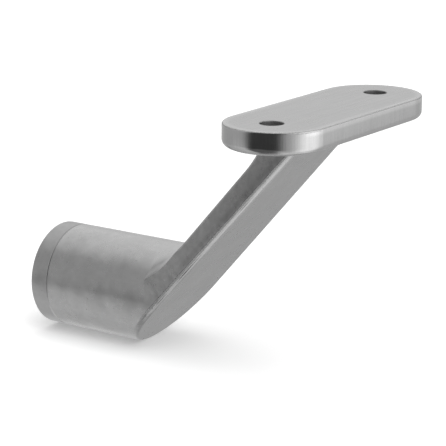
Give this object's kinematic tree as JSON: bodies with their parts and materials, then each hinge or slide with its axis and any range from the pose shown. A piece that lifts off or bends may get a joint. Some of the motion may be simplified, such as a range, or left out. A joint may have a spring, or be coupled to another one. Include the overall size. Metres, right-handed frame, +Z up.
{
  "type": "handrail bracket",
  "caption": "Stainless handrail bracket: round wall barrel, flat sloping arm and a round-ended plate that carries the rail.",
  "frame": {"origin": "centre of the fixing hole in the wall face of the disc", "axes": "+X away from the wall along the barrel, +Y along the handrail, +Z up"},
  "size_m": [0.0867, 0.063, 0.0625],
  "materials": {
    "cast_steel": "satin brushed",
    "turned_steel": "turned satin",
    "screw_steel": "plain screw steel"
  },
  "bodies": {
    "root": {"bracket_body": "cast_steel", "wall_disc": "turned_steel", "grub_screw": "screw_steel"}
  },
  "joints": []
}
